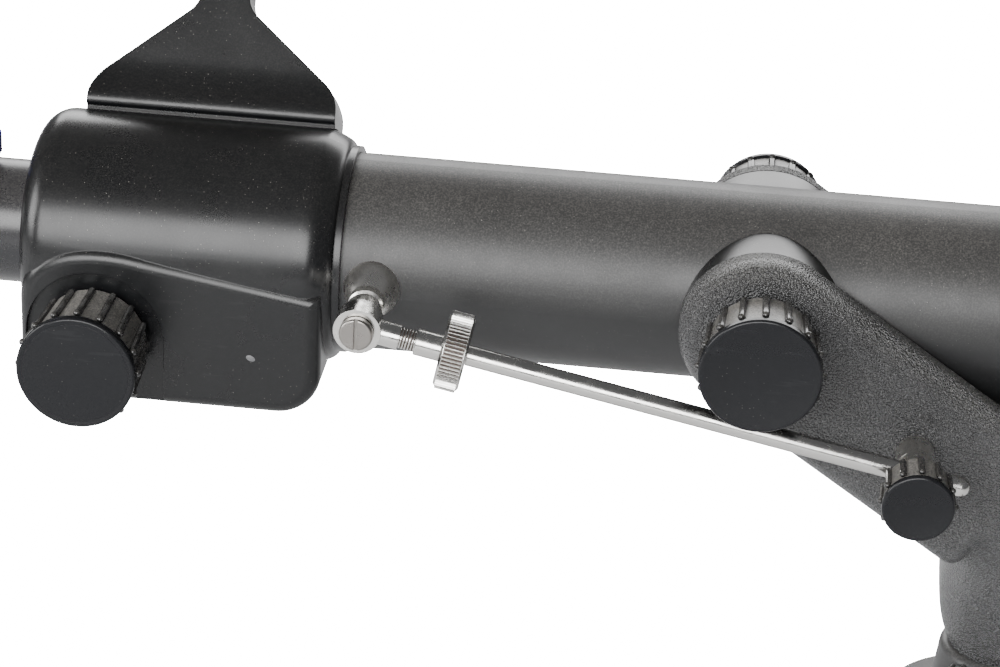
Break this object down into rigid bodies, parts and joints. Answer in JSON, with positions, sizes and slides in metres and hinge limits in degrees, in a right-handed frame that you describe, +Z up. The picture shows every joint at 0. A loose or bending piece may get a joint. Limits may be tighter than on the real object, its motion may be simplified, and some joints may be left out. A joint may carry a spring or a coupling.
{
  "type": "refracting telescope",
  "caption": "Small refracting telescope with a star diagonal, finder and slow-motion rod, on a two-armed alt-azimuth yoke and a folding table stand.",
  "frame": {"origin": "on the floor, under the azimuth axis, at the middle of the bounding box", "axes": "+X along the optical tube towards the objective, +Z up, -Y the side with the slow-motion rod"},
  "size_m": [0.7924, 0.431, 0.4313],
  "materials": {
    "tube_black": "satin",
    "housing_black": "gloss",
    "black_plastic": "satin",
    "flat_black": "matte",
    "yoke_paint": "wrinkle",
    "chrome": "polished",
    "steel": "satin",
    "black_metal": "satin",
    "brass": "satin",
    "rubber": "matte",
    "blue_anodised": "anodised",
    "collar_metal": "black anodised",
    "glass": "coated",
    "mirror": "polished"
  },
  "bodies": {
    "stand": {"tripod_hub": "black_metal", "leg_hinge_bolts": "steel"},
    "rear_leg": {"leg_rear": "black_metal", "foot_rear": "rubber"},
    "front_far_leg": {"leg_front_far": "black_metal", "foot_front_far": "rubber"},
    "front_near_leg": {"leg_front_near": "black_metal", "foot_front_near": "rubber"},
    "azimuth_lock": {"azimuth_lock_knob": "black_plastic"},
    "yoke": {"yoke": "yoke_paint", "azimuth_spindle": "steel", "azimuth_nut": "steel", "altitude_washers": "black_plastic"},
    "optical_tube": {"main_tube": "tube_black", "baffle_rings": "flat_black", "lens_cell": "black_metal", "objective_flint": "glass", "objective_crown": "glass", "lens_retaining_ring": "black_metal", "dew_shield": "tube_black", "focuser_housing": "housing_black", "pinion_cover_plate": "black_metal", "cover_screws": "steel", "trunnion_bosses": "housing_black", "altitude_bolts": "steel", "slow_motion_post": "chrome", "pivot_screw": "chrome", "finder_bracket": "housing_black", "finder_tube": "tube_black", "finder_objective": "glass", "finder_o_ring": "rubber"},
    "near_altitude_knob": {"altitude_knob_near": "black_plastic"},
    "far_altitude_knob": {"altitude_knob_far": "black_plastic"},
    "clamp": {"clamp_post": "chrome"},
    "clamp_grip": {"clamp_knob": "black_plastic"},
    "rod_eye": {"eye_stud": "chrome"},
    "rod": {"slow_motion_rod": "chrome"},
    "nut": {"knurled_nut": "chrome"},
    "drawtube": {"drawtube": "chrome", "drawtube_rack": "brass", "drawtube_collar": "collar_metal"},
    "focus_shaft": {"focus_pinion": "steel", "focus_knob_near": "black_plastic", "focus_knob_far": "black_plastic", "focus_knob_caps": "black_plastic"},
    "collar_screw": {"collar_thumb_screw": "blue_anodised"},
    "diagonal": {"diagonal_body": "black_metal", "diagonal_nose": "chrome", "diagonal_mirror": "mirror", "diagonal_cover": "black_plastic"},
    "diagonal_screw": {"diagonal_thumb_screw": "blue_anodised"},
    "eyepiece": {"eyepiece_barrel": "chrome", "eyepiece_body": "black_metal", "eyepiece_lenses": "glass", "eyecup": "rubber"},
    "finder_eye": {"finder_eyepiece": "black_plastic", "finder_eye_lens": "glass"},
    "finder_adjuster_1": {"finder_screw_1": "chrome"},
    "finder_adjuster_2": {"finder_screw_2": "chrome"},
    "finder_adjuster_3": {"finder_screw_3": "chrome"}
  },
  "joints": [
    {"name": "rear_leg_fold", "type": "hinge", "parent": "stand", "child": "rear_leg", "pos_m": [-0.027, 0, 0.16], "axis": [0, -1, 0], "range_deg": [0, 42]},
    {"name": "front_far_leg_fold", "type": "hinge", "parent": "stand", "child": "front_far_leg", "pos_m": [0.0135, 0.02338, 0.16], "axis": [-0.866, 0.5, 0], "range_deg": [0, 42]},
    {"name": "front_near_leg_fold", "type": "hinge", "parent": "stand", "child": "front_near_leg", "pos_m": [0.0135, -0.02338, 0.16], "axis": [0.866, 0.5, 0], "range_deg": [0, 42]},
    {"name": "azimuth_lock_turn", "type": "hinge", "parent": "stand", "child": "azimuth_lock", "pos_m": [0, 0, 0.1895], "axis": [-0.5, -0.866, 0], "range_deg": [-20, 720]},
    {"name": "azimuth", "type": "hinge", "parent": "stand", "child": "yoke", "pos_m": [0, 0, 0.198], "axis": [0, 0, 1], "continuous": true},
    {"name": "altitude", "type": "hinge", "parent": "yoke", "child": "optical_tube", "pos_m": [-0.088, 0, 0.32], "axis": [0, -1, 0], "range_deg": [0, 45]},
    {"name": "near_altitude_knob_turn", "type": "hinge", "parent": "optical_tube", "child": "near_altitude_knob", "pos_m": [-0.088, -0.055, 0.32], "axis": [0, -1, 0], "range_deg": [-30, 720]},
    {"name": "far_altitude_knob_turn", "type": "hinge", "parent": "optical_tube", "child": "far_altitude_knob", "pos_m": [-0.088, 0.055, 0.32], "axis": [0, 1, 0], "range_deg": [-30, 720]},
    {"name": "clamp_swivel", "type": "hinge", "parent": "yoke", "child": "clamp", "pos_m": [-0.0385, -0.058, 0.288], "axis": [0, -1, 0], "range_deg": [-1, 33]},
    {"name": "clamp_knob_turn", "type": "hinge", "parent": "clamp", "child": "clamp_grip", "pos_m": [-0.0385, -0.07, 0.288], "axis": [0, -1, 0], "range_deg": [-30, 720]},
    {"name": "rod_eye_swivel", "type": "hinge", "parent": "optical_tube", "child": "rod_eye", "pos_m": [-0.2085, -0.058, 0.321], "axis": [0, -1, 0], "range_deg": [-14, 1]},
    {"name": "rod_slide", "type": "slide", "parent": "rod_eye", "child": "rod", "axis": [0.9817, 0, -0.1906], "range_m": [-0.0015, 0.002]},
    {"name": "nut_turn", "type": "hinge", "parent": "rod", "child": "nut", "pos_m": [-0.17944, -0.058, 0.31536], "axis": [0.9817, 0, -0.1906], "range_deg": [-541, 721]},
    {"name": "focus_slide", "type": "slide", "parent": "optical_tube", "child": "drawtube", "axis": [-1, 0, 0], "range_m": [0, 0.08]},
    {"name": "focus_turn", "type": "hinge", "parent": "optical_tube", "child": "focus_shaft", "pos_m": [-0.294, 0, 0.2995], "axis": [0, -1, 0], "range_deg": [-0.5, 1146.5]},
    {"name": "collar_screw_turn", "type": "hinge", "parent": "drawtube", "child": "collar_screw", "pos_m": [-0.339, 0, 0.34], "axis": [0, 0, 1], "range_deg": [-30, 720]},
    {"name": "diagonal_rotation", "type": "hinge", "parent": "drawtube", "child": "diagonal", "pos_m": [-0.353, 0, 0.32], "axis": [1, 0, 0], "continuous": true},
    {"name": "diagonal_screw_turn", "type": "hinge", "parent": "diagonal", "child": "diagonal_screw", "pos_m": [-0.376, 0.02, 0.358], "axis": [0, 1, 0], "range_deg": [-30, 720]},
    {"name": "eyepiece_slide", "type": "slide", "parent": "diagonal", "child": "eyepiece", "axis": [0, 0, 1], "range_m": [0, 0.035]},
    {"name": "finder_focus", "type": "slide", "parent": "optical_tube", "child": "finder_eye", "axis": [-1, 0, 0], "range_m": [0, 0.008]},
    {"name": "finder_screw_1_turn", "type": "hinge", "parent": "optical_tube", "child": "finder_adjuster_1", "pos_m": [-0.2615, 0.06465, 0.42346], "axis": [0, 0.5299, 0.848], "range_deg": [-360, 360]},
    {"name": "finder_screw_2_turn", "type": "hinge", "parent": "optical_tube", "child": "finder_adjuster_2", "pos_m": [-0.2615, 0.03559, 0.40801], "axis": [0, -0.9994, 0.0349], "range_deg": [-360, 360]},
    {"name": "finder_screw_3_turn", "type": "hinge", "parent": "optical_tube", "child": "finder_adjuster_3", "pos_m": [-0.2615, 0.0635, 0.39057], "axis": [0, 0.4695, -0.8829], "range_deg": [-360, 360]}
  ],
  "couplings": [
    {"joint": "focus_turn", "follows": "focus_slide", "rad_per_m": 250},
    {"joint": "clamp_swivel", "follows": "altitude", "ratio": 0.708},
    {"joint": "rod_eye_swivel", "follows": "altitude", "ratio": -0.292},
    {"joint": "nut_turn", "follows": "rod_slide", "rad_per_m": 6283.2}
  ]
}
